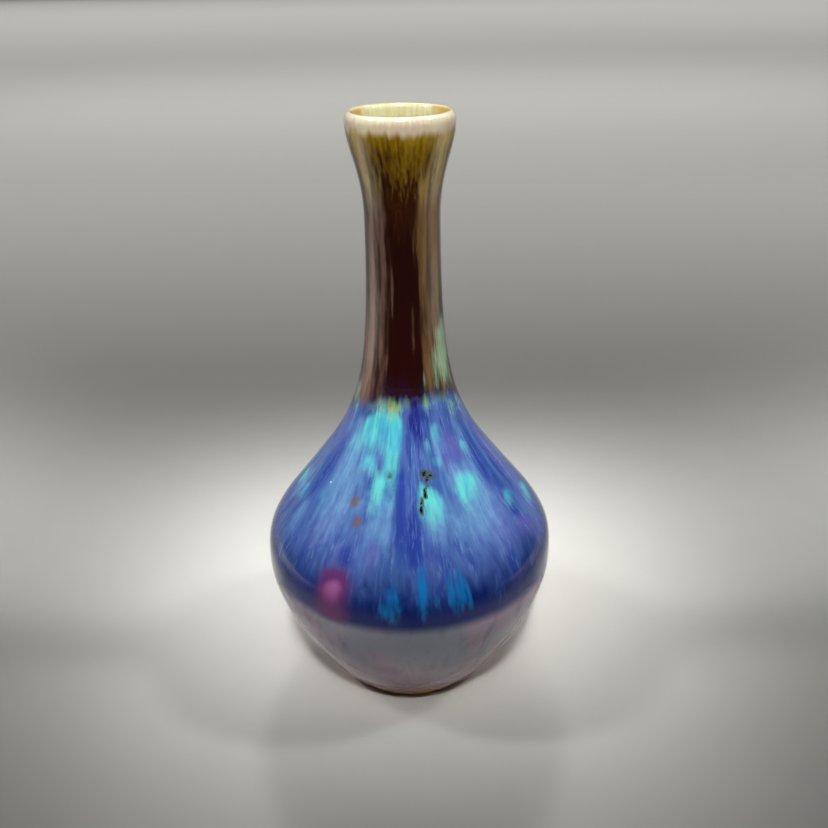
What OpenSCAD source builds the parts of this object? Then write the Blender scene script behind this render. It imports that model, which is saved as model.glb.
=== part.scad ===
// Ceramic bud vase: a small thrown bottle with a low round belly, a sloping
// shoulder, a slender neck and a rolled lip.
//
// The fired clay and the glaze coats fused to it are separate solids that meet
// face to face, and each is turned about Z. The origin is the centre of the
// plane that the foot rests on, +Z is up, and sizes are in millimetres.

/* [Foot] */
// Outer radius of the ring that rests on the table
foot_radius = 16.6; // [14:0.1:18]
// Width of the ring that rests on the table
foot_ring_width = 3.6; // [2:0.1:5]
// Depth of the hollow that is turned out inside the ring
foot_hollow_depth = 1.8; // [1:0.1:2.5]
// Radius of the pot where the outside glaze stops
glaze_edge_radius = 20; // [19:0.1:22]
// Height at which the outside glaze stops
glaze_edge_height = 4.8; // [3.5:0.1:6]

/* [Belly and shoulder] */
// Widest radius of the belly
belly_radius = 31.6; // [29:0.1:35]
// Height at which the belly is widest
belly_height = 31.5; // [29:0.5:35]
// Radius halfway up the straight slope of the shoulder
shoulder_radius = 20.3; // [18:0.1:22]
// Height halfway up the straight slope of the shoulder
shoulder_height = 52.5; // [50:0.5:56]
// Lean of the shoulder away from upright, in degrees
shoulder_lean = 37.4; // [34:0.2:40]

/* [Neck and lip] */
// Radius of the neck at its narrowest
neck_radius = 7.3; // [6.5:0.1:8.5]
// Height at which the neck is narrowest
neck_height = 105.5; // [98:0.5:108]
// Outer radius of the lip
lip_radius = 10.25; // [9.5:0.05:12]
// Height at which the lip is widest
lip_height = 123.4; // [121:0.1:124]
// Height of the whole vase
vase_height = 125; // [124.4:0.1:126]

/* [Walls] */
// Wall thickness at the belly, glaze on both faces included
belly_wall = 3.4; // [2.6:0.1:4]
// Wall thickness at the neck
neck_wall = 2.3; // [2:0.1:2.6]
// Wall thickness at the lip
lip_wall = 1.9; // [1.6:0.1:2.2]
// Height of the inside floor at its centre
floor_height = 5.4; // [4.8:0.1:6]

/* [Glaze] */
// Thickness of each glaze coat
glaze = 0.4; // [0.3:0.05:0.5]
// How far the glaze rolls on below its edge at the foot
glaze_roll = 0.4; // [0.2:0.1:0.6]
// Height at which the blue glaze of the body meets the brown glaze of the neck
neck_glaze_height = 71; // [62:0.5:80]
// Height at which the brown glaze of the neck breaks to cream at the lip
lip_glaze_height = 121; // [119:0.2:122]

/* [Hidden] */

// Points on each stretch of the outline, and on the half round of the lip
curve_steps = 9;
lip_steps = 8;
turning_steps = 96;

foot_round = 0.6;
foot_lean = -32;

// The outline passes through these places: radius, height and lean inward in
// degrees, then the share of the climb below and above it that keeps that lean.
stations = [
    [glaze_edge_radius, glaze_edge_height, foot_lean, 0, 0.18],
    [belly_radius, belly_height, 0, 0.36, 0.37],
    [shoulder_radius, shoulder_height, shoulder_lean, 0.83, 0.31],
    [neck_radius, neck_height, 0, 0.65, 0.52],
    [lip_radius, lip_height, 0, 0.28, 0],
];

function heading(lean) = [-sin(lean), cos(lean)];

function bezier(a, b, c, d, t) =
    a * pow(1 - t, 3) + b * 3 * t * pow(1 - t, 2) + c * 3 * t * t * (1 - t) + d * pow(t, 3);

// The outline from one station up to the next, without the upper end
function stretch(low, high) =
    let (
        climb = high[1] - low[1],
        a = [low[0], low[1]],
        d = [high[0], high[1]],
        b = a + low[4] * climb * heading(low[2]),
        c = d - high[3] * climb * heading(high[2])
    )
    [for (i = [0 : curve_steps - 1]) bezier(a, b, c, d, i / curve_steps)];

outline = [for (i = [0 : len(stations) - 2]) each stretch(stations[i], stations[i + 1])];
last = len(outline) - 1;

function outward(i) =
    let (along = outline[min(i + 1, last)] - outline[max(i - 1, 0)])
    [along.y, -along.x] / norm(along);

function wall_at(height) =
    lookup(height, [[belly_height, belly_wall], [neck_height, neck_wall], [lip_height, lip_wall]]);

function lip_line(depth) =
    [for (i = [0 : lip_steps])
        let (angle = 180 * i / lip_steps)
        [
            lip_radius - lip_wall / 2 + (lip_wall / 2 - depth) * cos(angle),
            lip_height + (vase_height - lip_height - depth) * sin(angle)
        ]
    ];

function floor_line(start, depth) =
    let (middle = [0, floor_height - depth])
    [for (i = [1 : curve_steps])
        bezier(start, start - 2 * heading(foot_lean), middle + [start.x / 2, 0], middle, i / curve_steps)
    ];

// One surface of the pot at a depth below the finished faces: up the outside,
// over the lip, down the inside and along the floor to the centre
function surface_line(depth) =
    let (
        outside = [for (i = [0 : last]) outline[i] - depth * outward(i)],
        inside = [for (i = [last : -1 : 0]) outline[i] - (wall_at(outline[i].y) - depth) * outward(i)]
    )
    concat(outside, lip_line(depth), inside, floor_line(inside[last], depth));

finished = surface_line(0);
clay = surface_line(glaze);

function first_above(height) = [for (i = [0 : last]) if (outline[i].y > height) i][0];

neck_start = first_above(neck_glaze_height);
lip_start = first_above(lip_glaze_height);
lip_end = 2 * last + lip_steps + 2 - lip_start;
surface_end = len(finished) - 1;

foot_hollow_radius = foot_radius - foot_ring_width;

foot_line = [
    [0, foot_hollow_depth],
    [foot_hollow_radius - foot_round, foot_hollow_depth],
    [foot_hollow_radius, foot_hollow_depth - foot_round],
    [foot_hollow_radius, foot_round],
    [foot_hollow_radius + foot_round, 0],
    [foot_radius - foot_round, 0],
    [foot_radius, foot_round],
];

module turned(points) {
    rotate_extrude($fn = turning_steps) polygon(points);
}

// A coat between the finished faces and the clay, from one point of the
// surface line to another
module glaze_coat(from, to, roll = []) {
    over = [for (i = [from : to]) finished[i]];
    under = [for (i = [to : -1 : from]) clay[i]];
    turned(concat(over, under, roll));
}

module clay_body() {
    color("tan") turned(concat(foot_line, clay));
}

module liner_glaze() {
    color("beige") glaze_coat(lip_end, surface_end);
}

module body_glaze() {
    rolled_edge = (finished[0] + clay[0]) / 2 - glaze_roll * heading(foot_lean);
    color("royalblue") glaze_coat(0, neck_start, [rolled_edge]);
}

module neck_glaze() {
    color("saddlebrown") glaze_coat(neck_start, lip_start);
}

module lip_glaze() {
    color("cornsilk") glaze_coat(lip_start, lip_end);
}

clay_body();
liner_glaze();
body_glaze();
neck_glaze();
lip_glaze();
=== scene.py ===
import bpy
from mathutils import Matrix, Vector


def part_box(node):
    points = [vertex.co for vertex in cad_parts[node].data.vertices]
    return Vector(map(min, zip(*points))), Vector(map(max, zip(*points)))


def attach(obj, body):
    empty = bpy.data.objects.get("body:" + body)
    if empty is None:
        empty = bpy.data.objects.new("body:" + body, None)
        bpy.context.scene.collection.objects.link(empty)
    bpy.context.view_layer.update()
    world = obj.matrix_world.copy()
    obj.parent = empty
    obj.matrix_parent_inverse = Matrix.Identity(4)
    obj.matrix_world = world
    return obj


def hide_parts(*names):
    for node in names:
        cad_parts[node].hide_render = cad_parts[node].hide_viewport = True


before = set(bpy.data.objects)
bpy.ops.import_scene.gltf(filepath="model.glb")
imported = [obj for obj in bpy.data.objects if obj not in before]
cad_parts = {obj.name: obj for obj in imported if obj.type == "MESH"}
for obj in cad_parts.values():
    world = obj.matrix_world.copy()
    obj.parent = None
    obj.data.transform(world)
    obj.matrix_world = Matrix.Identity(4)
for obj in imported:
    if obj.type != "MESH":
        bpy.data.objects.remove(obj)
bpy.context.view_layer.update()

import math
import random

import bpy
import numpy as np
from mathutils import Matrix, Vector, noise

mm = 0.001
print("frame loaded:", ", ".join(sorted(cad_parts)))


# The outline of the pot, in metres, and degrees for leans. Sizes that the frame knows are read from it.
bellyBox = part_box("body_glaze")
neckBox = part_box("neck_glaze")
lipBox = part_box("lip_glaze")

potShape = {
    "footRadius": 16.6 * mm,
    "footRingWidth": 3.6 * mm,
    "footHollow": 1.8 * mm,
    "footRound": 0.6 * mm,
    "glazeEdgeRadius": 20.0 * mm,
    "glazeEdgeHeight": 4.8 * mm,
    "footLean": -32.0,  # the wall leans outwards above the foot
    "bellyRadius": bellyBox[1].x,
    "bellyHeight": 31.5 * mm,
    "shoulderRadius": 20.3 * mm,
    "shoulderHeight": 52.5 * mm,
    "shoulderLean": 37.4,  # inwards
    "neckRadius": 7.3 * mm,
    "neckHeight": 105.5 * mm,
    "lipRadius": lipBox[1].x,
    "lipHeight": 123.4 * mm,
    "potHeight": lipBox[1].z,
    "bellyWall": 3.4 * mm,
    "neckWall": 2.3 * mm,
    "lipWall": 1.9 * mm,
    "floorHeight": 5.4 * mm,
    "floorBend": 2.0 * mm,  # how far the wall's slope runs on before it turns into the floor
    "glazeThickness": 0.4 * mm,
    "neckGlazeHeight": neckBox[0].z,
    "lipGlazeHeight": lipBox[0].z,
    "heightSlack": 0.05 * mm,  # a point this close below a glaze's start counts as on it
    "stretchSteps": 16,
    "lipSteps": 12,
    "segments": 96,
    "smoothLevels": 2,
    "plainLevels": 1,  # for the clay and the liner, which are hardly seen
    "hiddenStep": 4,  # the side of a coat that lies on the clay is this much coarser
    "linerHiddenStep": 3,
    "supportGap": 0.15 * mm,  # from a coat's end to the close ring beside it
    "sharpAngle": 50.0,  # edges that turn more than this stay crisp
}
tiny = 0.001 * mm  # places closer than this are one place


def heading(lean):
    angle = math.radians(lean)
    return np.array([-math.sin(angle), math.cos(angle)])


def bezier(a, b, c, d, t):
    return a * (1 - t) ** 3 + b * 3 * t * (1 - t) ** 2 + c * 3 * t * t * (1 - t) + d * t ** 3


def makeOutline(shape):
    # radius, height, lean inwards, then the share of the climb below and above that keeps that lean
    stations = [
        (shape["glazeEdgeRadius"], shape["glazeEdgeHeight"], shape["footLean"], 0, 0.18),
        (shape["bellyRadius"], shape["bellyHeight"], 0, 0.36, 0.37),
        (shape["shoulderRadius"], shape["shoulderHeight"], shape["shoulderLean"], 0.83, 0.31),
        (shape["neckRadius"], shape["neckHeight"], 0, 0.65, 0.52),
        (shape["lipRadius"], shape["lipHeight"], 0, 0.28, 0),
    ]
    line = []
    for low, high in zip(stations, stations[1:]):
        climb = high[1] - low[1]
        a, d = np.array(low[:2]), np.array(high[:2])
        b = a + low[4] * climb * heading(low[2])
        c = d - high[3] * climb * heading(high[2])
        for i in range(shape["stretchSteps"]):
            line.append(bezier(a, b, c, d, i / shape["stretchSteps"]))
    return np.array(line)


outline = makeOutline(potShape)
along = np.gradient(outline, axis=0)
along /= np.linalg.norm(along, axis=1)[:, None]
outward = np.stack([along[:, 1], -along[:, 0]], axis=1)
wall = np.interp(
    outline[:, 1],
    [potShape["bellyHeight"], potShape["neckHeight"], potShape["lipHeight"]],
    [potShape["bellyWall"], potShape["neckWall"], potShape["lipWall"]],
)


def lipLine(depth):
    shape = potShape
    angles = np.linspace(0, math.pi, shape["lipSteps"] + 1)
    half = shape["lipWall"] / 2
    middle = shape["lipRadius"] - half
    rise = shape["potHeight"] - shape["lipHeight"] - depth
    radii = middle + (half - depth) * np.cos(angles)
    heights = shape["lipHeight"] + rise * np.sin(angles)
    return np.stack([radii, heights], axis=1)


def floorLine(start, depth):
    middle = np.array([0, potShape["floorHeight"] - depth])
    steps = potShape["stretchSteps"]
    b = start - potShape["floorBend"] * heading(potShape["footLean"])
    c = middle + np.array([start[0] / 2, 0])
    return np.array([bezier(start, b, c, middle, i / steps) for i in range(1, steps + 1)])


def surfaceLine(depth):
    # up the outside, over the lip, down the inside and along the floor to the centre
    outside = outline - depth * outward
    inside = (outline - (wall - depth)[:, None] * outward)[::-1]
    return np.concatenate([outside, lipLine(depth), inside, floorLine(inside[-1], depth)])


finishedLine = surfaceLine(0)
clayLine = surfaceLine(potShape["glazeThickness"])


def firstPointAt(height):
    return int(np.argmax(outline[:, 1] > height - potShape["heightSlack"]))


neckStart = firstPointAt(potShape["neckGlazeHeight"])
lipStart = firstPointAt(potShape["lipGlazeHeight"])
lastOutside = len(outline) - 1
lipEnd = 2 * lastOutside + potShape["lipSteps"] + 2 - lipStart  # the same place on the inside
print("outline has", len(outline), "points; neck glaze from", neckStart, "and lip glaze from", lipStart)


# Turning: a ring is drawn out and narrowed along a closed section, as on a wheel
def deselectAll():
    if bpy.context.mode != "OBJECT":
        bpy.ops.object.mode_set(mode="OBJECT")
    bpy.ops.object.select_all(action="DESELECT")


def applyModifier(piece, kind, **values):
    bpy.context.view_layer.objects.active = piece
    modifier = piece.modifiers.new(kind.title(), kind)
    for name, value in values.items():
        setattr(modifier, name, value)
    bpy.ops.object.modifier_apply(modifier=modifier.name)


def pointOutwards():
    bpy.ops.mesh.select_all(action="SELECT")
    bpy.ops.mesh.normals_make_consistent(inside=False)
    bpy.ops.object.mode_set(mode="OBJECT")


def selectOpenEdges():
    bpy.ops.mesh.select_all(action="DESELECT")
    bpy.ops.mesh.select_non_manifold(
        extend=False, use_wire=False, use_multi_face=False, use_non_contiguous=False
    )


def turnPiece(name, section, corners, closed=True):
    # section is a list of (radius, height), corners are the numbers of its sharp places
    deselectAll()
    firstRadius, firstHeight = section[0]
    bpy.ops.mesh.primitive_circle_add(
        vertices=potShape["segments"], radius=firstRadius, fill_type="NOTHING", location=(0, 0, firstHeight)
    )
    piece = bpy.context.active_object
    piece.name = name
    piece.data.name = name
    bpy.ops.object.transform_apply(location=True, rotation=False, scale=False)
    bpy.ops.object.mode_set(mode="EDIT")
    bpy.ops.mesh.select_all(action="SELECT")
    radius, height = firstRadius, firstHeight
    if 0 in corners:
        bpy.ops.transform.edge_crease(value=1)
    for number, (nextRadius, nextHeight) in enumerate(section[1:], start=1):
        atCentre = nextRadius < 10 * tiny
        bpy.ops.mesh.extrude_region_move(TRANSFORM_OT_translate={"value": (0, 0, nextHeight - height)})
        if atCentre:
            bpy.ops.mesh.merge(type="CENTER")
            break
        ratio = nextRadius / radius
        bpy.ops.transform.resize(value=(ratio, ratio, 1), center_override=(0, 0, nextHeight))
        if number in corners:
            bpy.ops.transform.edge_crease(value=1)
        radius, height = nextRadius, nextHeight
    if closed:
        # the last ring lies on the first, so the two become one
        bpy.ops.mesh.select_all(action="SELECT")
        bpy.ops.mesh.remove_doubles(threshold=tiny)
    pointOutwards()
    return piece


def finishTurned(piece, levels):
    applyModifier(piece, "SUBSURF", levels=levels, render_levels=levels)
    deselectAll()
    piece.select_set(True)
    bpy.context.view_layer.objects.active = piece
    bpy.ops.object.shade_smooth_by_angle(angle=math.radians(potShape["sharpAngle"]))
    return piece


def coatSection(first, last):
    # the finished face from first to last, then back along the clay, coarser where it is hidden
    face = [finishedLine[i] for i in range(first, last + 1)]
    hidden = [clayLine[i] for i in range(last, first - 1, -potShape["hiddenStep"])]
    if not np.allclose(hidden[-1], clayLine[first]):
        hidden.append(clayLine[first])
    # a close ring beside each end keeps the surface running straight over the join
    gap = potShape["supportGap"]
    startStep = face[1] - face[0]
    endStep = face[-2] - face[-1]
    face.insert(1, face[0] + startStep * gap / np.linalg.norm(startStep))
    face.insert(-1, face[-1] + endStep * gap / np.linalg.norm(endStep))
    section = [tuple(point) for point in face + hidden]
    corners = {0, len(face) - 1, len(face), len(section) - 1}
    return section + [section[0]], corners | {len(section)}


# Glaze painted and raised point by point
def placesOf(piece):
    flat = np.empty(len(piece.data.vertices) * 3, dtype=np.float32)
    piece.data.vertices.foreach_get("co", flat)
    return flat.reshape(-1, 3).astype(float)


def angleAndHeight(places):
    # degrees round the pot from its front, and millimetres above the table
    angle = np.degrees(np.arctan2(places[:, 0], -places[:, 1]))
    return angle, places[:, 2] / mm


def wrapped(degrees):
    return (degrees + 180) % 360 - 180


def smoothStep(low, high, value):
    t = np.clip((value - low) / (high - low), 0, 1)
    return t * t * (3 - 2 * t)


def softNoise(angle, height, across, length, seed):
    # noise that runs down the pot: across is in degrees, length in millimetres
    turn = np.radians(angle)
    reach = math.degrees(1) / across
    x, y, z = np.sin(turn) * reach, np.cos(turn) * reach, height / length + seed
    return np.array([noise.noise(Vector(place)) for place in zip(x, y, z)])


# Where the glaze ran. Each run: angle round the pot, top and bottom in millimetres, half width in
# degrees, strength. soft is how gently its top starts, arch how round that top is, and tail the share
# that fades out below.
glazeRuns = {
    "haze": {"soft": 3.0, "arch": 0.10, "tail": 0.55, "runs": [
        (-50, 68, 40, 10, 0.8), (-38, 66, 42, 9, 0.75), (-28, 64, 56, 6, 0.6), (-28, 56, 47, 6, 0.35),
        (-15, 56, 42, 8, 0.8), (16, 56, 43, 8, 0.8), (38, 59, 41, 12, 0.95), (25, 68, 44, 3.5, 0.7),
        (52, 67, 44, 6, 0.6),
        (-66, 69, 61, 5, 0.7), (-65, 50, 38, 3.5, 0.7), (-78, 55, 44, 8, 0.5), (82, 50, 42, 8, 0.4),
        (4, 64, 52, 3, 0.4), (30, 66, 58, 6, 0.5), (68, 66, 40, 2.5, 0.5),
    ]},
    "violet": {"soft": 3.0, "arch": 0.05, "tail": 0.5, "runs": [
        (-68, 66, 54, 9, 0.5), (-40, 56, 43, 6, 0.6), (-48, 50, 41, 8, 0.6), (-16, 48, 42, 3.5, 0.9),
        (40, 65, 56, 12, 0.7), (47, 51, 41, 9, 0.8), (-86, 67, 59, 9, 0.7), (30, 63, 56, 5, 0.5),
        (82, 63, 50, 9, 0.6), (62, 46, 39, 9, 0.7), (9, 46, 41, 5, 0.4), (-30, 47, 41, 6, 0.5),
    ]},
    "deep": {"soft": 2.5, "arch": 0.05, "tail": 0.4, "runs": [
        (-4, 60, 42, 3.6, 1.0), (2, 53, 42, 4, 0.9), (-62, 60, 45, 5, 0.4), (56, 60, 51, 4, 0.8),
        (63, 65, 45, 5, 0.6), (75, 65, 47, 3.5, 0.7), (25, 60, 50, 2.5, 0.7), (-28, 47, 41, 4, 0.9),
        (8, 49, 40, 4, 0.5), (-29, 52, 46, 3, 0.4), (79, 64, 42, 9, 0.6),
    ]},
    "turquoise": {"soft": 1.8, "arch": 0.16, "tail": 0.85, "runs": [
        (-13, 70, 51.5, 6.5, 1.0), (-7.5, 69, 60, 4, 0.9), (-26, 69.8, 62, 10, 1.1), (-40, 68, 61.5, 9, 0.9),
        (-31, 61, 56.5, 8, 0.75), (-20, 58, 50.5, 4.5, 0.9), (-50, 64, 57, 6, 0.35), (-33, 67.5, 59, 12, 0.7),
        (14, 56, 48, 7, 1.0), (9, 56.5, 52, 3, 0.6), (40, 57, 51, 9.5, 1.0), (34, 55, 49, 4, 0.6),
        (27, 67, 62, 5, 0.65), (17, 64, 59, 2.5, 0.45), (52, 62, 58.5, 5, 0.5), (64, 50.5, 46.5, 6, 0.7),
        (84, 47.5, 43, 8, 0.75), (-88, 52, 46, 7, 0.7), (-75, 51, 46.5, 5, 0.6), (-56, 53, 48, 6, 0.4),
        (22, 61, 58, 3.5, 0.5),
    ]},
    "indigo": {"soft": 1.5, "arch": 0.02, "tail": 0.5, "runs": [
        (9, 71.5, 61.5, 5.5, 1.0), (3, 69, 65, 3.5, 0.8), (18, 70, 66, 3, 0.6),
    ]},
    "teal": {"soft": 3.0, "arch": 0.15, "tail": 0.45, "runs": [
        (-7, 41.5, 32, 3.6, 0.9), (5, 44.5, 33, 2.2, 1.0), (15.5, 43, 33, 1.6, 0.9), (19, 43, 33, 1.8, 1.0),
        (22.3, 41, 33, 0.9, 0.8), (36, 39, 31, 6, 0.25), (-12, 38, 33, 3, 0.3), (10, 41, 34, 2, 0.3),
    ]},
    "magenta": {"soft": 3.0, "arch": 0.10, "tail": 0.2, "runs": [
        (-31, 43.5, 30, 7.5, 1.0), (-47, 30, 6, 20, 0.5), (-14, 20, 6, 14, 0.45), (52, 16, 5, 20, 0.3),
    ]},
    "pink": {"soft": 1.6, "arch": 0.14, "tail": 0.65, "runs": [(-31, 40.8, 33.5, 4.6, 1.0)]},
    "fringe": {"soft": 1.6, "arch": 0.04, "tail": 0.7, "runs": [
        (-17, 72.6, 67.0, 7, 1.0), (-30, 72.6, 67.2, 7, 0.9), (-73, 71.5, 65.5, 11, 0.8),
        (0, 73, 69.4, 4, 0.8),
        (22, 73.6, 67.6, 3.5, 1.0), (32, 73, 68, 5, 0.5), (45, 73, 68, 8, 0.55), (57, 70, 65, 6, 0.6),
        (75, 70.6, 64, 8, 0.5), (-8, 72.4, 67.8, 4, 0.8), (-43, 71, 67.4, 6, 0.6),
    ]},
    "mustard": {"soft": 0.8, "arch": 0.03, "tail": 0.5, "runs": [
        (-19, 72.4, 68.6, 4, 0.8), (-12, 71, 68, 3.5, 0.7), (22, 72.8, 69.4, 2, 0.5),
    ]},
    "greenVeil": {"soft": 3.0, "arch": 0.03, "tail": 0.5, "runs": [
        (57, 86, 70, 13, 1.0), (24, 78, 70, 3, 0.6), (40, 81, 70, 6, 0.6), (72, 88, 70, 9, 0.8),
        (-78, 74, 66, 10, 0.9),
    ]},
    # thin glaze on the neck's sides, which also carries a painted reflection of the side lights
    "thinGlazeAndReflection": {"soft": 6.0, "arch": 0.0, "tail": 0.4, "runs": [
        (32, 111, 60, 9, 0.8), (31, 118, 98, 10, 0.65), (54, 130, 64, 13, 1.0), (-33, 111, 56, 9, 0.55),
        (-34, 118, 100, 9, 0.55), (-54, 130, 50, 10, 1.0), (-68, 90, 62, 10, 0.7),
        (-17, 100, 83, 2.6, 0.5), (12, 91, 78, 2.6, 0.45), (16, 110, 94, 4, 0.35),
        (-75, 112, 80, 9, 0.4), (75, 110, 88, 9, 0.4), (118, 112, 84, 12, 0.6), (160, 108, 80, 8, 0.5),
        (-160, 114, 86, 12, 0.7), (-118, 110, 78, 8, 0.6),
    ]},
    "soot": {"soft": 0.6, "arch": 0.0, "tail": 0.25, "runs": [
        (13, 58.6, 56.8, 6, 1.0), (11.6, 57.2, 55.4, 1.5, 1.0), (10, 55.8, 53.9, 1.5, 1.2),
        (8.2, 54.2, 52.4, 1.4, 1.2), (6.8, 53.0, 51.2, 1.3, 1.3), (-12, 58.8, 57.4, 2.0, 0.8),
        (-14, 58, 57, 1.2, 0.6),
    ]},
    "rust": {"soft": 0.8, "arch": 0.02, "tail": 0.4, "runs": [
        (-33, 55.2, 51.2, 3.2, 1.1), (-27.5, 51.2, 48.4, 2.6, 1.1), (-33, 58.6, 56.6, 2.0, 0.6),
    ]},
}
backRuns = {
    "seed": 23,
    "firstAngle": 100,
    "lastAngle": 262,
    "gap": 15,
    "tealChance": 0.4,
    "pinkChance": 0.2,
    "greenChance": 0.4,
    "rustChance": 0.15,
}
breakHeights = {  # where brown gives way to blue: angle round the pot, height in millimetres
    "line": [
        (-180, 69.5), (-165, 71.6), (-150, 69.2), (-135, 72), (-120, 70.4), (-105, 68.6), (-90, 67),
        (-75, 67.5), (-60, 69), (-45, 69), (-30, 70.8), (-14, 70.8), (0, 71), (6, 70.6), (12, 70.4),
        (20, 71), (35, 71.4), (50, 70.6), (70, 70), (90, 67.5), (105, 68.6), (120, 71), (135, 69.4),
        (150, 72), (165, 70.6), (180, 69.5),
    ],
    "spread": 10,  # millimetres over which the mask rises by one
    "ripple": 0.06,
    "rippleNoise": (3, 12, 2.0),  # degrees across, millimetres long, seed
}
runShape = {
    "drift": 0.6,  # degrees, from side to side
    "driftLength": 6,
    "fall": 0.9,
    "fallPower": 2.4,
    "edgeNoise": ((0.7, (9, 12, 4.0)), (0.3, (1.6, 5, 9.0))),  # share, then as for rippleNoise
}


def addBackRuns():
    # the far side gets runs of the same kinds, each a little different
    chance = random.Random(backRuns["seed"])

    def run(name, angle, top, bottom, width, strength):
        glazeRuns[name]["runs"].append((angle, top, bottom, width, strength))

    angle = backRuns["firstAngle"]
    while angle < backRuns["lastAngle"]:
        top = chance.uniform(53, 70)
        width = chance.uniform(5, 9)
        run("turquoise", angle, top, top - chance.uniform(5, 15), width, chance.uniform(0.6, 1))
        run("haze", angle + 2, top - 2, chance.uniform(40, 44), width * 1.2, 0.9)
        run("violet", angle + chance.uniform(-9, 9), chance.uniform(52, 66), 41, width, 0.7)
        run("deep", angle + backRuns["gap"] / 2, chance.uniform(56, 66), 42, 3.8, chance.uniform(0.6, 1))
        fringeTop = chance.uniform(69.5, 72.5)
        run("fringe", angle + chance.uniform(-5, 5), fringeTop, fringeTop - 4, chance.uniform(5, 12), 0.7)
        if chance.random() < backRuns["tealChance"]:
            run("teal", angle + 5, 43, 33, 3, 0.9)
        if chance.random() < backRuns["pinkChance"]:
            pinkTop = chance.uniform(38, 43)
            run("magenta", angle - 6, pinkTop, chance.uniform(24, 32), chance.uniform(5, 8), 0.9)
            run("pink", angle - 6, pinkTop - 2.5, 33, 4.5, 0.8)
        if chance.random() < backRuns["greenChance"]:
            run("greenVeil", angle + 4, chance.uniform(80, 88), 70, 9, 0.8)
            run("mustard", angle + 2, 70.7, 68, 4, 0.8)
        if chance.random() < backRuns["rustChance"]:
            rustTop = chance.uniform(48, 60)
            run("rust", angle + 3, rustTop, rustTop - 3, 2.4, 0.9)
        angle += backRuns["gap"] * chance.uniform(0.8, 1.3)


addBackRuns()


def paintRun(angle, height, run, look, edge):
    centre, top, bottom, halfWidth, strength = run
    drift = runShape["drift"] * np.sin(height / runShape["driftLength"] + centre)
    across = wrapped(angle - centre - drift) / halfWidth
    archedTop = top - look["arch"] * halfWidth * across ** 2
    soft = min(look["soft"], (top - bottom) / 3)
    fade = (top - bottom) * look["tail"]
    down = smoothStep(archedTop + soft / 2, archedTop - soft, height + edge)
    tail = smoothStep(bottom - fade / 4, bottom + fade, height)
    return strength * np.exp(-np.abs(across) ** runShape["fallPower"] * runShape["fall"]) * down * tail


def paintGlaze(piece):
    angle, height = angleAndHeight(placesOf(piece))
    edge = sum(share * softNoise(angle, height, *look) for share, look in runShape["edgeNoise"])
    masks = {}
    for name, look in glazeRuns.items():
        clear = np.ones(len(angle))
        for run in look["runs"]:
            clear *= 1 - paintRun(angle, height, run, look, edge)
        masks[name] = 1 - clear
    angles, heights = zip(*breakHeights["line"])
    breakLine = np.interp(angle, angles, heights)
    ripple = breakHeights["ripple"] * softNoise(angle, height, *breakHeights["rippleNoise"])
    masks["aboveBreak"] = (height - breakLine) / breakHeights["spread"] + ripple
    for name, values in masks.items():
        layer = piece.data.attributes.new(name, "FLOAT", "POINT")
        layer.data.foreach_set("value", values.astype(np.float32))
    return masks


# How the finished glaze lies on the pot. Noise: degrees across, millimetres long, seed.
reliefLook = {
    "wave": (30, 16, 1.0),
    "waveHeight": 0.05 * mm,
    "ridge": (7, 22, 5.0),
    "ridgeHeight": 0.03 * mm,
    "runHeight": 0.07 * mm,
    "hazeShare": 0.4,
    "keepInside": 0.13 * mm,  # room kept below the widest line
    "widest": (27 * mm, 30.5 * mm),
    "faceDepth": (0.3 * mm, 0.1 * mm),  # nothing moves deeper than the first, all does above the second
    "lipFade": (1, 6),  # millimetres below the top
    "rollHeight": 0.22 * mm,
    "rollWidth": 1.6 * mm,
    "rollCentre": 0.55,
    "rollSteepness": 2.2,
    "edge": (14, 5, 7.0),
    "edgeWander": 0.35 * mm,
    "edgeFade": (2.4, 0.2),  # millimetres above the edge
}


def raiseGlaze(piece, masks):
    # the finished face swells where glaze ran thick, and rolls up at its lower edge
    look = reliefLook
    places = placesOf(piece)
    angle, height = angleAndHeight(places)
    radius = np.hypot(places[:, 0], places[:, 1])
    faceRadius = np.interp(places[:, 2], outline[:, 1], outline[:, 0])
    onFace = smoothStep(*look["faceDepth"], faceRadius - radius)
    fadeStart, fadeEnd = (potShape["potHeight"] / mm - depth for depth in look["lipFade"])
    lift = look["waveHeight"] * softNoise(angle, height, *look["wave"])
    lift += look["ridgeHeight"] * softNoise(angle, height, *look["ridge"])
    lift += look["runHeight"] * np.maximum(masks["turquoise"], masks["haze"] * look["hazeShare"])
    lift -= look["keepInside"] * smoothStep(*look["widest"], radius)
    lift *= smoothStep(fadeStart, fadeEnd, height)
    edgeGap = (places[:, 2] - potShape["glazeEdgeHeight"]) / look["rollWidth"]
    lift += look["rollHeight"] * np.exp(-((edgeGap - look["rollCentre"]) * look["rollSteepness"]) ** 2)
    normalR = np.interp(places[:, 2], outline[:, 1], outward[:, 0])
    normalZ = np.interp(places[:, 2], outline[:, 1], outward[:, 1])
    grow = 1 + lift * onFace / np.maximum(radius, mm) * normalR
    places[:, 0] *= grow
    places[:, 1] *= grow
    places[:, 2] += lift * onFace * normalZ
    # the lower edge wanders a little up and down
    wander = look["edgeWander"] * softNoise(angle, height * 0, *look["edge"])
    places[:, 2] += wander * smoothStep(*look["edgeFade"], (places[:, 2] - potShape["glazeEdgeHeight"]) / mm)
    piece.data.vertices.foreach_set("co", places.astype(np.float32).ravel())
    piece.data.update()


def makeCoat(name, first, last, painted):
    section, corners = coatSection(first, last)
    piece = turnPiece(name, section, corners)
    finishTurned(piece, potShape["smoothLevels"])
    if painted:
        masks = paintGlaze(piece)
        raiseGlaze(piece, masks)
    print("made", name, "with", len(piece.data.polygons), "faces")
    return piece


bodyCoat = makeCoat("bodyGlaze", 0, neckStart, True)
neckCoat = makeCoat("neckGlaze", neckStart, lipStart, True)
lipCoat = makeCoat("lipGlaze", lipStart, lipEnd, False)


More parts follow.
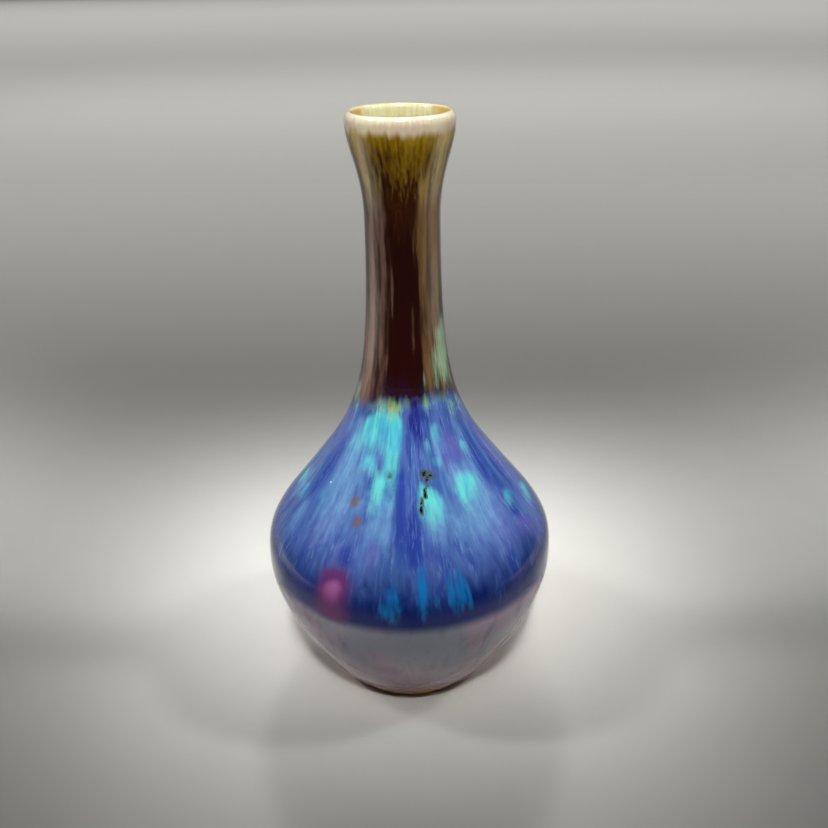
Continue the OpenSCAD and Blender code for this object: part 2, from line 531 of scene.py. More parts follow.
def makeLiner():
    # from inside the lip down to the middle of the floor, then back along the clay
    last = len(finishedLine) - 1
    face = [tuple(finishedLine[i]) for i in range(lipEnd, last + 1)]
    hidden = [tuple(clayLine[i]) for i in range(last, lipEnd - 1, -potShape["linerHiddenStep"])]
    hidden[-1] = tuple(clayLine[lipEnd])
    upper = turnPiece("linerGlaze", face, {0}, closed=False)
    back = turnPiece("linerBack", hidden[::-1], {0}, closed=False)
    deselectAll()
    back.select_set(True)
    upper.select_set(True)
    bpy.context.view_layer.objects.active = upper
    bpy.ops.object.join()
    bpy.ops.object.mode_set(mode="EDIT")
    selectOpenEdges()
    bpy.ops.mesh.bridge_edge_loops()
    pointOutwards()
    finishTurned(upper, potShape["plainLevels"])
    return upper


liner = makeLiner()
print("made", liner.name, "with", len(liner.data.polygons), "faces")


def makeClay():
    # from the hollow under the foot out to the foot ring, then up the wall and down to the inside floor
    shape = potShape
    outer = shape["footRadius"]
    inner = outer - shape["footRingWidth"]
    hollow = shape["footHollow"]
    soft = shape["footRound"]
    bevel = soft * 0.3  # keeps the ring's corners round
    foot = [
        (inner / 2, hollow),
        (inner - soft, hollow),
        (inner, hollow - soft),
        (inner, soft),
        (inner + bevel, bevel),
        (inner + soft, 0),
        (outer - soft, 0),
        (outer - bevel, bevel),
        (outer, soft),
    ]
    ringTop = np.array(foot[-1])
    rise = [tuple(ringTop + (clayLine[0] - ringTop) * share) for share in (0.3, 0.65)]
    wallLine = [tuple(point) for point in clayLine]
    piece = turnPiece("clayBody", foot + rise + wallLine, set(), closed=False)
    # the hollow closes in the middle
    bpy.ops.object.mode_set(mode="EDIT")
    selectOpenEdges()
    bpy.ops.mesh.extrude_region_move(TRANSFORM_OT_translate={"value": (0, 0, 0)})
    bpy.ops.mesh.merge(type="CENTER")
    pointOutwards()
    finishTurned(piece, shape["plainLevels"])
    return piece


clay = makeClay()
print("made", clay.name, "with", len(clay.data.polygons), "faces")


# Materials
def toLight(level):
    # one channel as a painter reads it, 0 to 255, turned to light
    share = level / 255
    return share / 12.92 if level <= 10 else ((share + 0.055) / 1.055) ** 2.4


def paint(red, green, blue):
    return (toLight(red), toLight(green), toLight(blue), 1)


glazeColours = {
    "cobalt": paint(60, 90, 150),
    "royal": paint(46, 70, 144),
    "periwinkle": paint(80, 106, 168),
    "haze": paint(104, 148, 192),
    "mist": paint(156, 194, 226),
    "violet": paint(98, 96, 168),
    "deep": paint(34, 56, 142),
    "turquoise": paint(66, 178, 206),
    "aqua": paint(98, 206, 198),
    "indigo": paint(34, 40, 124),
    "teal": paint(10, 112, 178),
    "magenta": paint(102, 44, 100),
    "pink": paint(172, 104, 158),
    "navy": paint(4, 30, 100),
    # the next three colours are a painted reflection of the pale floor on the lower belly
    "reflectedFloorSlate": paint(178, 156, 170),
    "reflectedFloorFog": paint(156, 160, 168),
    "reflectedFloorDusk": paint(124, 106, 134),
    "plum": paint(122, 76, 104),
    "leaf": paint(140, 196, 146),
    "mustard": paint(158, 162, 64),
    "greenGrey": paint(142, 178, 138),
    "soot": paint(24, 20, 14),
    "moss": paint(70, 84, 60),
    "rust": paint(112, 88, 78),
    "speckWhite": paint(206, 216, 240),
    "plumBlack": paint(38, 12, 34),
    "maroon": paint(36, 5, 2),
    "umber": paint(62, 28, 2),
    "olive": paint(150, 112, 0),
    "straw": paint(176, 146, 26),
    "khaki": paint(140, 108, 68),
    # mauve and sand paint the side lights' reflection on the neck
    "reflectedMauve": paint(146, 114, 98),
    "reflectedSand": paint(238, 204, 118),
    "cream": paint(246, 232, 190),
    "blush": paint(238, 214, 184),
    "ivory": paint(250, 245, 214),
    "limeCream": paint(238, 234, 176),
    "lime": paint(228, 230, 152),
    "honey": paint(226, 180, 82),
}


def addNode(tree, kind, **values):
    node = tree.nodes.new(kind)
    for name, value in values.items():
        setattr(node, name, value)
    return node


def feed(tree, socket, value):
    if isinstance(value, bpy.types.NodeSocket):
        tree.links.new(value, socket)
    elif value is not None:
        socket.default_value = value


def maths(tree, operation, a, b=None):
    node = addNode(tree, "ShaderNodeMath", operation=operation)
    feed(tree, node.inputs[0], a)
    feed(tree, node.inputs[1], b)
    return node.outputs[0]


def sway(tree, value, texture, reach):
    # moves a value up and down by a texture whose middle is one half
    shift = maths(tree, "MULTIPLY", maths(tree, "SUBTRACT", texture, 0.5), reach)
    return maths(tree, "ADD", value, shift)


def axesOf(tree, place):
    node = addNode(tree, "ShaderNodeSeparateXYZ")
    feed(tree, node.inputs[0], place)
    return node.outputs


def heightOf(tree, place):
    return axesOf(tree, place)[2]


def distanceOut(tree, x, y):
    # how far a place is from the pot's middle line
    squares = [maths(tree, "MULTIPLY", side, side) for side in (x, y)]
    return maths(tree, "SQRT", maths(tree, "ADD", *squares))


def mixColours(tree, share, a, b):
    node = addNode(tree, "ShaderNodeMix", data_type="RGBA")
    feed(tree, node.inputs["Factor"], share)
    feed(tree, node.inputs[6], a)
    feed(tree, node.inputs[7], b)
    return node.outputs[2]


def remap(tree, value, low, high, toLow=0.0, toHigh=1.0, smooth=True):
    node = addNode(tree, "ShaderNodeMapRange", interpolation_type="SMOOTHSTEP" if smooth else "LINEAR")
    given = {"Value": value, "From Min": low, "From Max": high, "To Min": toLow, "To Max": toHigh}
    for name, amount in given.items():
        feed(tree, node.inputs[name], amount)
    return node.outputs["Result"]


def noiseOf(tree, vector, scale, detail=3.0, roughness=0.5):
    node = addNode(tree, "ShaderNodeTexNoise")
    given = {"Vector": vector, "Scale": scale, "Detail": detail, "Roughness": roughness}
    for name, amount in given.items():
        feed(tree, node.inputs[name], amount)
    return node.outputs["Fac"]


def cellsOf(tree, vector, scale):
    node = addNode(tree, "ShaderNodeTexVoronoi", feature="F1")
    feed(tree, node.inputs["Vector"], vector)
    feed(tree, node.inputs["Scale"], scale)
    return node.outputs


def colourRamp(tree, value, stops):
    # stops is a list of (share, name of a glaze colour)
    node = addNode(tree, "ShaderNodeValToRGB")
    elements = node.color_ramp.elements
    while len(elements) < len(stops):
        elements.new(0.5)
    for element, (share, name) in zip(elements, stops):
        element.position = share
        element.color = glazeColours[name]
    feed(tree, node.inputs["Fac"], value)
    return node.outputs["Color"]


def readMask(tree, name):
    return addNode(tree, "ShaderNodeAttribute", attribute_name=name).outputs["Fac"]


def newGroup(name, inputs, outputs):
    group = bpy.data.node_groups.new(name, "ShaderNodeTree")
    for label, kind, value in inputs:
        socket = group.interface.new_socket(label, in_out="INPUT", socket_type=kind)
        if value is not None:
            socket.default_value = value
    for label, kind in outputs:
        group.interface.new_socket(label, in_out="OUTPUT", socket_type=kind)
    return group, group.nodes.new("NodeGroupInput").outputs, group.nodes.new("NodeGroupOutput").inputs


def useGroup(tree, group, **values):
    node = addNode(tree, "ShaderNodeGroup", node_tree=group)
    for name, value in values.items():
        feed(tree, node.inputs[name], value)
    return node.outputs


streakLook = {
    "across": 8.0,
    "along": 60.0,
    "wander": 0.12,
    "wanderNoise": (90.0, 2.0),  # scale and detail
    "leastRadius": 1 * mm,
    "noise": (1.0, 4.0, 0.55),  # scale, detail and roughness
}


def makeStreakGroup():
    # streaks that run down the pot and spread as it widens
    look = streakLook
    group, given, result = newGroup(
        "glazeStreaks",
        [
            ("Place", "NodeSocketVector", None),
            ("Across", "NodeSocketFloat", look["across"]),
            ("Along", "NodeSocketFloat", look["along"]),
            ("Seed", "NodeSocketFloat", 0.0),
            ("Wander", "NodeSocketFloat", look["wander"]),
        ],
        [("Streak", "NodeSocketFloat")],
    )
    x, y, z = axesOf(group, given["Place"])
    radius = maths(group, "MAXIMUM", distanceOut(group, x, y), look["leastRadius"])
    wander = noiseOf(group, given["Place"], *look["wanderNoise"])
    ring = addNode(group, "ShaderNodeCombineXYZ")
    for socket, side in zip(ring.inputs, (x, y)):
        turned = sway(group, maths(group, "DIVIDE", side, radius), wander, given["Wander"])
        feed(group, socket, maths(group, "MULTIPLY", turned, given["Across"]))
    climb = maths(group, "MULTIPLY", z, given["Along"])
    feed(group, ring.inputs[2], maths(group, "ADD", climb, given["Seed"]))
    feed(group, result["Streak"], noiseOf(group, ring.outputs[0], *look["noise"]))
    return group


skinLook = {
    "speckCells": 190.0,
    "mostSpecks": 0.12,  # the share of cells that can hold a speck
    "speckSize": (0.07, 0.03),
    "speckDepth": 0.3,
    "wave": (110.0, 2.0),  # scale and detail
    "waveHeight": 0.6,
    "peel": (900.0, 2.0),
    "peelHeight": 0.02,
}


def makeSkinGroup():
    # tiny pale specks, and the faint waviness of fired glaze
    look = skinLook
    group, given, result = newGroup(
        "glazeSkin",
        [("Place", "NodeSocketVector", None), ("Specks", "NodeSocketFloat", 0.5)],
        [("Speck", "NodeSocketFloat"), ("Height", "NodeSocketFloat")],
    )
    cells = cellsOf(group, given["Place"], look["speckCells"])
    tone = addNode(group, "ShaderNodeSeparateColor")
    feed(group, tone.inputs[0], cells["Color"])
    plain = maths(group, "SUBTRACT", 1.0, maths(group, "MULTIPLY", given["Specks"], look["mostSpecks"]))
    chosen = maths(group, "GREATER_THAN", remap(group, tone.outputs[0], plain, 1.0, smooth=False), 0.001)
    speck = maths(group, "MULTIPLY", chosen, remap(group, cells["Distance"], *look["speckSize"]))
    wave = maths(group, "MULTIPLY", noiseOf(group, given["Place"], *look["wave"]), look["waveHeight"])
    peel = maths(group, "MULTIPLY", noiseOf(group, given["Place"], *look["peel"]), look["peelHeight"])
    dent = maths(group, "MULTIPLY", speck, look["speckDepth"])
    height = maths(group, "SUBTRACT", maths(group, "ADD", wave, peel), dent)
    feed(group, result["Height"], height)
    feed(group, result["Speck"], speck)
    return group


lipBreakLook = {
    "start": 122.1 * mm,
    "reach": 2.8 * mm,  # how far the streaks move it
    "fade": (-0.8 * mm, 0.9 * mm),
    "streak": (8.0, 45.0, 5.0),  # how many across, how fine along, seed
}


def makeLipBreakGroup():
    # how far the glaze has run off the lip and left it cream
    look = lipBreakLook
    group, given, result = newGroup(
        "lipBreak",
        [
            ("Place", "NodeSocketVector", None),
            ("Streak", "NodeSocketFloat", 0.5),
            ("Start", "NodeSocketFloat", look["start"]),
        ],
        [("Cream", "NodeSocketFloat")],
    )
    level = sway(group, heightOf(group, given["Place"]), given["Streak"], look["reach"])
    above = maths(group, "SUBTRACT", level, given["Start"])
    feed(group, result["Cream"], remap(group, above, *look["fade"]))
    return group


streakGroup = makeStreakGroup()
skinGroup = makeSkinGroup()
lipBreakGroup = makeLipBreakGroup()


def streaks(tree, place, across, along, seed, wander=streakLook["wander"]):
    node = useGroup(tree, streakGroup, Place=place, Across=across, Along=along, Seed=seed, Wander=wander)
    return node["Streak"]


def lipBreak(tree, place):
    streak = streaks(tree, place, *lipBreakLook["streak"])
    return useGroup(tree, lipBreakGroup, Place=place, Streak=streak)["Cream"]


maskEdge = 0.3  # the streaks have no hold on a run where its mask is fainter than this


def lay(tree, colour, name, textures, run, tint=None):
    # lays a painted run over a colour. run: the textures that break its edge and how hard, where it
    # starts, where it is full, and the most that it covers
    breaks, low, high, most = run
    mask = readMask(tree, name)
    share = mask
    for texture, strength in breaks.items():
        share = sway(tree, share, textures[texture], strength)
    near = remap(tree, mask, 0.0, maskEdge, 0.0, most)
    share = maths(tree, "MULTIPLY", remap(tree, share, low, high), near)
    return mixColours(tree, share, colour, glazeColours[name] if tint is None else tint)


def newMaterial(name):
    material = bpy.data.materials.new(name)
    material.use_nodes = True
    tree = material.node_tree
    tree.nodes.clear()
    shader = addNode(tree, "ShaderNodeBsdfPrincipled")
    output = addNode(tree, "ShaderNodeOutputMaterial")
    tree.links.new(shader.outputs[0], output.inputs["Surface"])
    place = addNode(tree, "ShaderNodeTexCoord").outputs["Object"]
    return material, tree, shader, place


def addBump(tree, shader, height, strength, distance):
    bump = addNode(tree, "ShaderNodeBump")
    bump.inputs["Strength"].default_value = strength
    bump.inputs["Distance"].default_value = distance
    feed(tree, bump.inputs["Height"], height)
    tree.links.new(bump.outputs[0], shader.inputs["Normal"])


glazeGloss = {
    "ior": 1.72,
    "speckShare": 0.8,
    "dull": (160.0, 3.0),  # noise scale and detail of the duller patches
    "dullRange": (0.3, 0.75),
    "bumpStrength": 0.25,
    "bumpDistance": 0.4 * mm,
}


def finishGlaze(tree, shader, place, colour, look):
    # specks, gloss and the fired skin, the same way for every glaze
    gloss = glazeGloss
    skin = useGroup(tree, skinGroup, Place=place, Specks=look["specks"])
    speck = maths(tree, "MULTIPLY", skin["Speck"], gloss["speckShare"])
    feed(tree, shader.inputs["Base Color"], mixColours(tree, speck, colour, glazeColours["speckWhite"]))
    dull = noiseOf(tree, place, *gloss["dull"])
    feed(tree, shader.inputs["Roughness"], remap(tree, dull, *gloss["dullRange"], *look["roughness"]))
    addBump(tree, shader, skin["Height"], gloss["bumpStrength"], gloss["bumpDistance"])
    shader.inputs["IOR"].default_value = gloss["ior"]


# The neck's glaze. Each streak: how many across, how fine along, seed, and how far it moves the browns.
neckLook = {
    "streaks": {
        "fine": (9.0, 120.0, 3.0, 14 * mm),
        "broad": (2.2, 40.0, 8.0, 12 * mm),
        "dabs": (16.0, 420.0, 31.0, 20 * mm),
    },
    "brownHeights": (70 * mm, 125 * mm),
    "browns": [
        (0.0, "plumBlack"),
        (0.12, "maroon"),
        (0.60, "maroon"),
        (0.76, "umber"),
        (0.89, "olive"),
        (1.0, "straw"),
    ],
    "thinGlazeAndReflection": ({"fine": 1.4}, 0.1, 1.2, 0.8),
    "reflectedMauveSide": (2 * mm, -4 * mm),  # thin glaze with a painted reflection of the side light: khaki on the right and mauve on the left
    # pale sand near the top is a painted reflection of the side light
    "reflectedSandHeights": (107 * mm, 116 * mm),
    "specks": 0.2,
    "roughness": (0.05, 0.1),
}


def neckColour(tree, place):
    # brown to olive, darker where it lies thick
    look = neckLook
    colours = glazeColours
    x, y, z = axesOf(tree, place)
    textures = {}
    level = z
    for name, (across, along, seed, reach) in look["streaks"].items():
        textures[name] = streaks(tree, place, across, along, seed)
        level = sway(tree, level, textures[name], reach)
    brown = colourRamp(tree, remap(tree, level, *look["brownHeights"], smooth=False), look["browns"])
    # thin glaze with a painted reflection of the side lights: mauve on the left, khaki on the right, pale
    # sand near the top
    tone = mixColours(tree, remap(tree, x, *look["reflectedMauveSide"]), colours["khaki"], colours["reflectedMauve"])
    tone = mixColours(tree, remap(tree, z, *look["reflectedSandHeights"]), tone, colours["reflectedSand"])
    return lay(tree, brown, "thinGlazeAndReflection", textures, look["thinGlazeAndReflection"], tone)


# The lip's glaze. A pair says where in its texture, height or radius a colour starts and is full,
# and the pair after it how much of the colour that gives.
lipLook = {
    "fine": (14.0, 90.0, 5.0),
    "patch": (110.0, 2.0),
    "cream": (0.42, 0.6),
    "limeCream": (0.5, 0.7, 0.0, 0.6),
    "topReach": 3 * mm,
    "ivoryHeights": (123.6 * mm, 124.6 * mm, 0.0, 0.8),
    "innerIvory": (0.4, 0.62),
    "innerRadius": (9.3 * mm, 8.7 * mm),
    "honeyReach": 8 * mm,
    "honeySides": (6.2 * mm, 8.0 * mm, 0.0, 0.85),
    "honeyRadius": (9.2 * mm, 8.6 * mm),
    "specks": 0.1,
    "roughness": (0.06, 0.12),
}


def creamColour(tree, place):
    # cream over the lip, blushed on the outside, yellow-green towards the inside, honey at the sides
    look = lipLook
    colours = glazeColours
    fine = streaks(tree, place, *look["fine"])
    patch = noiseOf(tree, place, *look["patch"])
    x, y, z = axesOf(tree, place)
    cream = mixColours(tree, remap(tree, patch, *look["cream"]), colours["blush"], colours["cream"])
    cream = mixColours(tree, remap(tree, fine, *look["limeCream"]), cream, colours["limeCream"])
    top = sway(tree, z, fine, look["topReach"])
    cream = mixColours(tree, remap(tree, top, *look["ivoryHeights"]), cream, colours["ivory"])
    out = distanceOut(tree, x, y)
    inner = mixColours(tree, remap(tree, fine, *look["innerIvory"]), colours["limeCream"], colours["ivory"])
    cream = mixColours(tree, remap(tree, out, *look["innerRadius"]), cream, inner)
    side = sway(tree, maths(tree, "ABSOLUTE", x), patch, look["honeyReach"])
    side = remap(tree, side, *look["honeySides"])
    honey = maths(tree, "MULTIPLY", side, remap(tree, out, *look["honeyRadius"]))
    return mixColours(tree, honey, cream, colours["honey"])


# The body's glaze. Each streak: how many across, how fine along, seed, wander. Each run: the textures
# that break its edge and how hard, where it starts, where it is full, and the most that it covers.
bodyLook = {
    "streaks": {
        "hair": (44.0, 340.0, 15.0, 0.04),
        "fine": (20.0, 200.0, 1.0, 0.06),
        "medium": (8.0, 90.0, 6.0, 0.2),
        "broad": (3.0, 50.0, 11.0),
    },
    "dabs": (420.0, 3.0, 0.6),
    "cloud": (55.0, 2.0),
    "grain": (1500.0, 2.0),
    "periwinkle": (0.4, 0.62),
    "royal": (0.46, 0.66),
    "aqua": (0.36, 0.58),
    "shoulderRuns": {
        "violet": ({"medium": 0.7, "dabs": 0.5}, 0.1, 1.1, 0.8),
        "haze": ({"medium": 0.8, "fine": 0.9, "dabs": 0.5}, 0.12, 1.15, 0.95),
        "deep": ({"fine": 0.7, "dabs": 0.5}, 0.1, 1.05, 0.85),
        "turquoise": ({"fine": 0.7, "medium": 0.7, "dabs": 0.5}, 0.0, 1.1, 1.0),
        "indigo": ({"fine": 0.5}, 0.1, 0.95, 1.0),
    },
    "hairWash": (0.4, 0.6, 0.25, 1.0),
    "hairs": {"mist": (0.5, 0.75, 0.0, 0.26), "royal": (0.44, 0.28, 0.0, 0.3)},
    "levelReach": {"medium": 12 * mm, "fine": 4 * mm},
    "navyHeights": (44.8 * mm, 34.5 * mm),
    # the next three lines set the painted reflection of the floor on the lower belly
    "reflectedFloorFog": (0.42, 0.6),
    "reflectedFloorDusk": (0.5, 0.7, 0.0, 0.5),
    "underHeights": (32.8 * mm, 29.6 * mm, 0.0, 0.78),
    "plumHeights": (24 * mm, 6 * mm),
    "bellyRuns": {
        "teal": ({"fine": 1.2, "hair": 1.4}, 0.1, 1.2, 0.95),
        "magenta": ({"medium": 0.4, "dabs": 0.3}, 0.1, 1.0, 0.95),
        "pink": ({"medium": 0.4, "fine": 0.4}, 0.1, 1.3, 0.9),
    },
    "rustDabs": (0.25, 0.5),
    "rust": (0.15, 1.0, 0.0, 0.8),
    "mossReach": 1.5,
    "moss": (0.35, 0.9, 0.0, 0.8),
    "sootReach": 2.0,
    "soot": (0.8, 1.2),
    "specks": 0.55,
    "roughness": (0.05, 0.12),
}


def shoulderColour(tree, textures):
    look = bodyLook
    colours = glazeColours
    medium = textures["medium"]
    base = remap(tree, textures["broad"], *look["periwinkle"])
    colour = mixColours(tree, base, colours["cobalt"], colours["periwinkle"])
    colour = mixColours(tree, remap(tree, medium, *look["royal"]), colour, colours["royal"])
    aqua = mixColours(tree, remap(tree, medium, *look["aqua"]), colours["turquoise"], colours["aqua"])
    for name, run in look["shoulderRuns"].items():
        colour = lay(tree, colour, name, textures, run, aqua if name == "turquoise" else None)
    # fine pale hairs all over the shoulder, and dark ones between them
    wash = remap(tree, medium, *look["hairWash"])
    for name, share in look["hairs"].items():
        hairs = maths(tree, "MULTIPLY", remap(tree, textures["hair"], *share), wash)
        colour = mixColours(tree, hairs, colour, colours[name])
    return colour


def bellyColour(tree, place, textures, colour):
    # dark navy just above the widest line, a painted reflection of the pale floor in grey-lilac under it, and
    # plum near the foot
    look = bodyLook
    colours = glazeColours
    height = heightOf(tree, place)
    level = height
    for name, reach in look["levelReach"].items():
        level = sway(tree, level, textures[name], reach)
    colour = mixColours(tree, remap(tree, level, *look["navyHeights"]), colour, colours["navy"])
    # painted reflection of the pale floor, mottled grey-lilac, over the lower belly
    cloud = noiseOf(tree, place, *look["cloud"])
    under = mixColours(tree, remap(tree, cloud, *look["reflectedFloorFog"]), colours["reflectedFloorSlate"], colours["reflectedFloorFog"])
    under = mixColours(tree, remap(tree, textures["medium"], *look["reflectedFloorDusk"]), under, colours["reflectedFloorDusk"])
    colour = mixColours(tree, remap(tree, height, *look["underHeights"]), colour, under)
    colour = mixColours(tree, remap(tree, level, *look["plumHeights"]), colour, colours["plum"])
    for name, run in look["bellyRuns"].items():
        colour = lay(tree, colour, name, textures, run)
    return colour


def spotColour(tree, place, dabs, colour):
    # rust and soot spots, broken up by noise, each patch of soot in a bed of moss green
    look = bodyLook
    colours = glazeColours
    rust = maths(tree, "MULTIPLY", readMask(tree, "rust"), remap(tree, dabs, *look["rustDabs"]))
    colour = mixColours(tree, remap(tree, rust, *look["rust"]), colour, colours["rust"])
    bed = readMask(tree, "soot")
    moss = sway(tree, bed, dabs, look["mossReach"])
    colour = mixColours(tree, remap(tree, moss, *look["moss"]), colour, colours["moss"])
    soot = sway(tree, bed, noiseOf(tree, place, *look["grain"]), look["sootReach"])
    return mixColours(tree, remap(tree, soot, *look["soot"]), colour, colours["soot"])


def bodyColour(tree, place):
    textures = {name: streaks(tree, place, *streak) for name, streak in bodyLook["streaks"].items()}
    textures["dabs"] = noiseOf(tree, place, *bodyLook["dabs"])
    colour = shoulderColour(tree, textures)
    colour = bellyColour(tree, place, textures, colour)
    return spotColour(tree, place, textures["dabs"], colour), textures


# Where blue meets brown. The runs are given as the body's are.
breakLook = {
    "dabs": (700.0, 3.0, 0.6),
    "pull": {"fine": 0.3, "dabs": 0.25},
    "blend": (-0.16, 0.2),
    "fringe": ({"fine": 1.6, "dabs": 1.2}, 0.1, 1.1, 0.9),
    "mustard": ({"fine": 1.6, "dabs": 1.2}, 0.2, 1.0, 1.0),
    "greenVeil": ({"fine": 1.5}, 0.25, 1.05, 0.85),
}


def outsideColour(tree, place):
    # blue below the break, a bright fringe on it, and brown above
    look = breakLook
    colour, textures = bodyColour(tree, place)
    textures["dabs"] = noiseOf(tree, place, *look["dabs"])
    colour = lay(tree, colour, "fringe", textures, look["fringe"], glazeColours["leaf"])
    colour = lay(tree, colour, "mustard", textures, look["mustard"])
    neck = neckColour(tree, place)
    neck = lay(tree, neck, "greenVeil", textures, look["greenVeil"], glazeColours["greenGrey"])
    above = readMask(tree, "aboveBreak")
    for name, strength in look["pull"].items():
        above = sway(tree, above, textures[name], strength)
    return mixColours(tree, remap(tree, above, *look["blend"]), colour, neck)


def makeBodyMaterial():
    material, tree, shader, place = newMaterial("bodyGlaze")
    finishGlaze(tree, shader, place, outsideColour(tree, place), bodyLook)
    return material


def makeNeckMaterial():
    material, tree, shader, place = newMaterial("neckGlaze")
    colour = mixColours(tree, lipBreak(tree, place), outsideColour(tree, place), creamColour(tree, place))
    finishGlaze(tree, shader, place, colour, neckLook)
    return material


def makeLipMaterial():
    material, tree, shader, place = newMaterial("lipGlaze")
    colour = mixColours(tree, lipBreak(tree, place), neckColour(tree, place), creamColour(tree, place))
    finishGlaze(tree, shader, place, colour, lipLook)
    return material


linerLook = {
    "fine": (14.0, 90.0, 21.0),
    "reach": 6 * mm,
    "heights": (85 * mm, 124 * mm),
    "greens": [(0.0, "umber"), (0.4, "olive"), (0.75, "lime"), (1.0, "limeCream")],
    "ivory": (0.5, 0.64, 0.0, 0.7),
    "patch": (95.0, 2.0),
    "honey": (0.54, 0.66, 0.0, 0.85),
    "specks": 0.1,
    "roughness": (0.06, 0.14),
}


def makeLinerMaterial():
    # pale yellow-green inside the mouth, with honey patches, and olive where it runs down the neck
    look = linerLook
    material, tree, shader, place = newMaterial("linerGlaze")
    fine = streaks(tree, place, *look["fine"])
    level = sway(tree, heightOf(tree, place), fine, look["reach"])
    colour = colourRamp(tree, remap(tree, level, *look["heights"], smooth=False), look["greens"])
    colour = mixColours(tree, remap(tree, fine, *look["ivory"]), colour, glazeColours["ivory"])
    patch = noiseOf(tree, place, *look["patch"])
    colour = mixColours(tree, remap(tree, patch, *look["honey"]), colour, glazeColours["honey"])
    finishGlaze(tree, shader, place, colour, look)
    return material


clayLook = {
    "tan": paint(176, 138, 92),
    "darkTan": paint(150, 96, 52),
    "iron": paint(70, 44, 26),
    "grain": (1400.0, 3.0, 0.6),
    "cloud": (120.0, 3.0),
    "cloudReach": 2 * mm,
    "darkTanHeights": (2.6 * mm, 5.6 * mm),
    "darkTanGrain": (0.45, 0.7, 0.0, 0.35),
    "ironCells": 700.0,
    "ironSize": (0.16, 0.08, 0.0, 0.8),
    "ironCloud": (0.5, 0.6),
    "roughness": (0.2, 0.8, 0.72, 0.9),
    "bumpStrength": 0.5,
    "bumpDistance": 0.2 * mm,
}


def makeClayMaterial():
    look = clayLook
    material, tree, shader, place = newMaterial("bareClay")
    grain = noiseOf(tree, place, *look["grain"])
    cloud = noiseOf(tree, place, *look["cloud"])
    cloudShift = maths(tree, "MULTIPLY", cloud, look["cloudReach"])
    blush = maths(tree, "ADD", heightOf(tree, place), cloudShift)
    # the clay is a darker tan towards the glaze edge above the foot, and in its grain
    colour = mixColours(tree, remap(tree, blush, *look["darkTanHeights"]), look["tan"], look["darkTan"])
    colour = mixColours(tree, remap(tree, grain, *look["darkTanGrain"]), colour, look["darkTan"])
    dots = remap(tree, cellsOf(tree, place, look["ironCells"])["Distance"], *look["ironSize"])
    dots = maths(tree, "MULTIPLY", dots, remap(tree, cloud, *look["ironCloud"]))
    feed(tree, shader.inputs["Base Color"], mixColours(tree, dots, colour, look["iron"]))
    feed(tree, shader.inputs["Roughness"], remap(tree, grain, *look["roughness"]))
    addBump(tree, shader, grain, look["bumpStrength"], look["bumpDistance"])
    return material


def dress(piece, material, slotName, *nodes):
    piece.data.materials.clear()
    piece.data.materials.append(material)
    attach(piece, "root")
    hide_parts(*nodes)


dress(bodyCoat, makeBodyMaterial(), "body_glaze", "body_glaze")
dress(neckCoat, makeNeckMaterial(), "neck_glaze", "neck_glaze")
dress(lipCoat, makeLipMaterial(), "lip_glaze", "lip_glaze")
dress(liner, makeLinerMaterial(), "liner_glaze", "liner_glaze")
dress(clay, makeClayMaterial(), "bare_clay", "clay_body")


# The studio: a pale floor, and boxes and tubes of light whose narrow beams keep the floor close in
# front of the pot dim, because the glaze mirrors it. Each lamp: its place, its size, the spread of its
# beam in degrees, its power in watts, and the spot it aims at.
studio = {
    "floorColour": paint(208, 206, 200),
    "floorTint": 0.96,
    "floorNoise": (60.0, 3.0),
    "floorRoughness": 0.9,
    "floorSize": 20.0,
    "worldColour": (0.045, 0.045, 0.048, 1),
    "lights": {
        "keyBox": ((0, -0.37, 0.6), (0.12, 0.08), 9, 0.03, (0, -0.005, 0.06)),
        "leftBox": ((-0.42, -0.02, 0.56), (0.12, 0.12), 12, 0.014, (0, 0, 0.04)),
        "rightBox": ((0.42, -0.02, 0.56), (0.12, 0.12), 12, 0.014, (0, 0, 0.04)),
        "rearBox": ((0, 0.42, 0.56), (0.12, 0.12), 12, 0.01, (0, 0, 0.04)),
        "leftPool": ((-0.3, 0.03, 0.5), (0.16, 0.12), 34, 0.14, (-0.28, 0.04, 0)),
        "rightPool": ((0.32, -0.01, 0.5), (0.16, 0.2), 34, 0.11, (0.3, 0.02, 0)),
        "baseBox": ((0, 0.28, 0.9), (1.2, 0.4), 36, 0.32, (0, 0.32, 0)),
        "backdropBox": ((0, 0.8, 0.8), (1.8, 0.8), 100, 3.4, (0, 0.9, 0)),
        "farBox": ((0, 2.4, 1.6), (6.0, 2.4), 120, 36.0, (0, 2.6, 0)),
        "horizonBox": ((0, 5.0, 1.6), (9.0, 3.0), 130, 60.0, (0, 5.2, 0)),
        "lipTube": ((0, -0.3, 0.75), (0.5, 0.05), 12, 0.066, (0, 0, 0.125)),
        "edgeTube": ((0.42, 0.46, 0.3), (0.004, 0.55), 180, 0.04, (0, 0, 0.3)),
    },
}


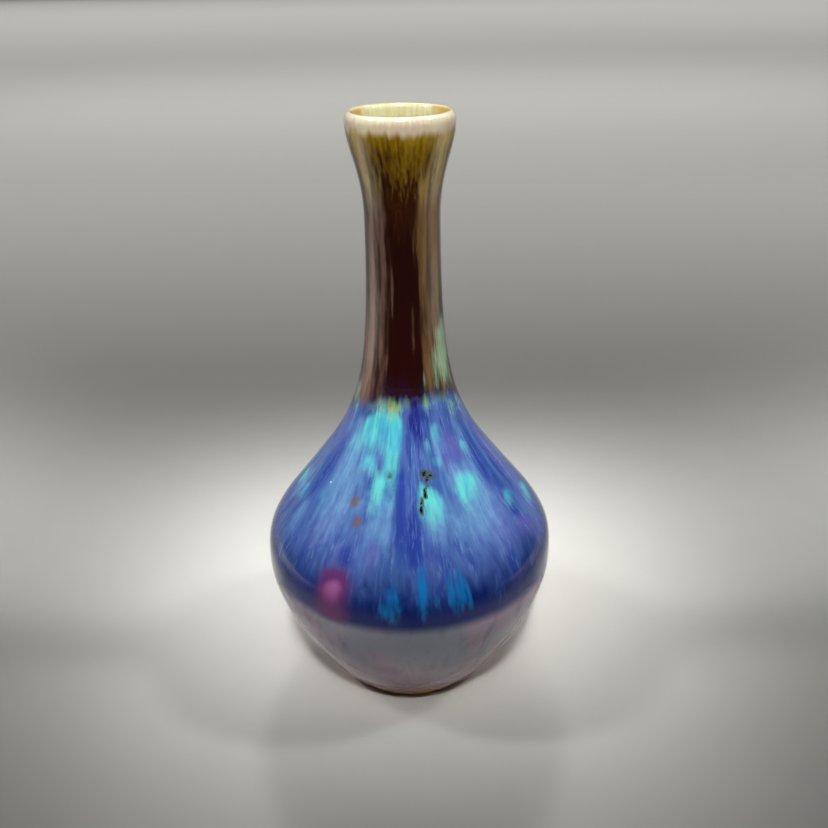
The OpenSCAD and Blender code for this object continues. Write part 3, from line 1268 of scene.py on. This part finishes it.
def addLamp(name, place, size, spread, power, aim):
    light = bpy.data.lights.new(name, "AREA")
    light.shape = "RECTANGLE"
    light.size, light.size_y = size
    light.energy = power
    light.spread = math.radians(spread)
    lamp = bpy.data.objects.new(name, light)
    bpy.context.scene.collection.objects.link(lamp)
    lamp.location = place
    toAim = Vector(aim) - lamp.location
    lamp.rotation_euler = toAim.to_track_quat("-Z", "Y").to_euler()


def makeFloor():
    deselectAll()
    bpy.ops.mesh.primitive_plane_add(size=studio["floorSize"], location=(0, 0, 0))
    floor = bpy.context.active_object
    floor.name = "floor"
    material, tree, shader, place = newMaterial("floorPaint")
    patch = noiseOf(tree, place, *studio["floorNoise"])
    pale = studio["floorColour"]
    tinted = tuple(channel * studio["floorTint"] for channel in pale[:3]) + (1,)
    feed(tree, shader.inputs["Base Color"], mixColours(tree, patch, pale, tinted))
    shader.inputs["Roughness"].default_value = studio["floorRoughness"]
    floor.data.materials.append(material)


def makeStudio():
    makeFloor()
    for name, look in studio["lights"].items():
        addLamp(name, *look)
    world = bpy.data.worlds.new("studio")
    world.use_nodes = True
    world.node_tree.nodes["Background"].inputs[0].default_value = studio["worldColour"]
    bpy.context.scene.world = world
    bpy.context.scene.view_settings.view_transform = "Standard"


# The camera, in metres, degrees and millimetres of lens
cameraLook = {
    "place": (0, -0.1664, 0.1476),
    "pitchDown": 26.83,
    "turn": -0.53,
    "roll": -1.06,
    "lens": 38.26,
    "sensor": 36.0,
    "nearest": 0.01,
}


def makeCamera():
    look = cameraLook
    data = bpy.data.cameras.new("camera")
    data.lens = look["lens"]
    data.sensor_width = look["sensor"]
    data.clip_start = look["nearest"]
    camera = bpy.data.objects.new("camera", data)
    bpy.context.scene.collection.objects.link(camera)
    turn = Matrix.Rotation(math.radians(look["turn"]), 4, "Z")
    tilt = Matrix.Rotation(math.radians(90 - look["pitchDown"]), 4, "X")
    roll = Matrix.Rotation(math.radians(look["roll"]), 4, "Z")
    camera.matrix_world = Matrix.Translation(look["place"]) @ turn @ tilt @ roll
    bpy.context.scene.camera = camera


makeStudio()
makeCamera()
print("studio and camera ready")
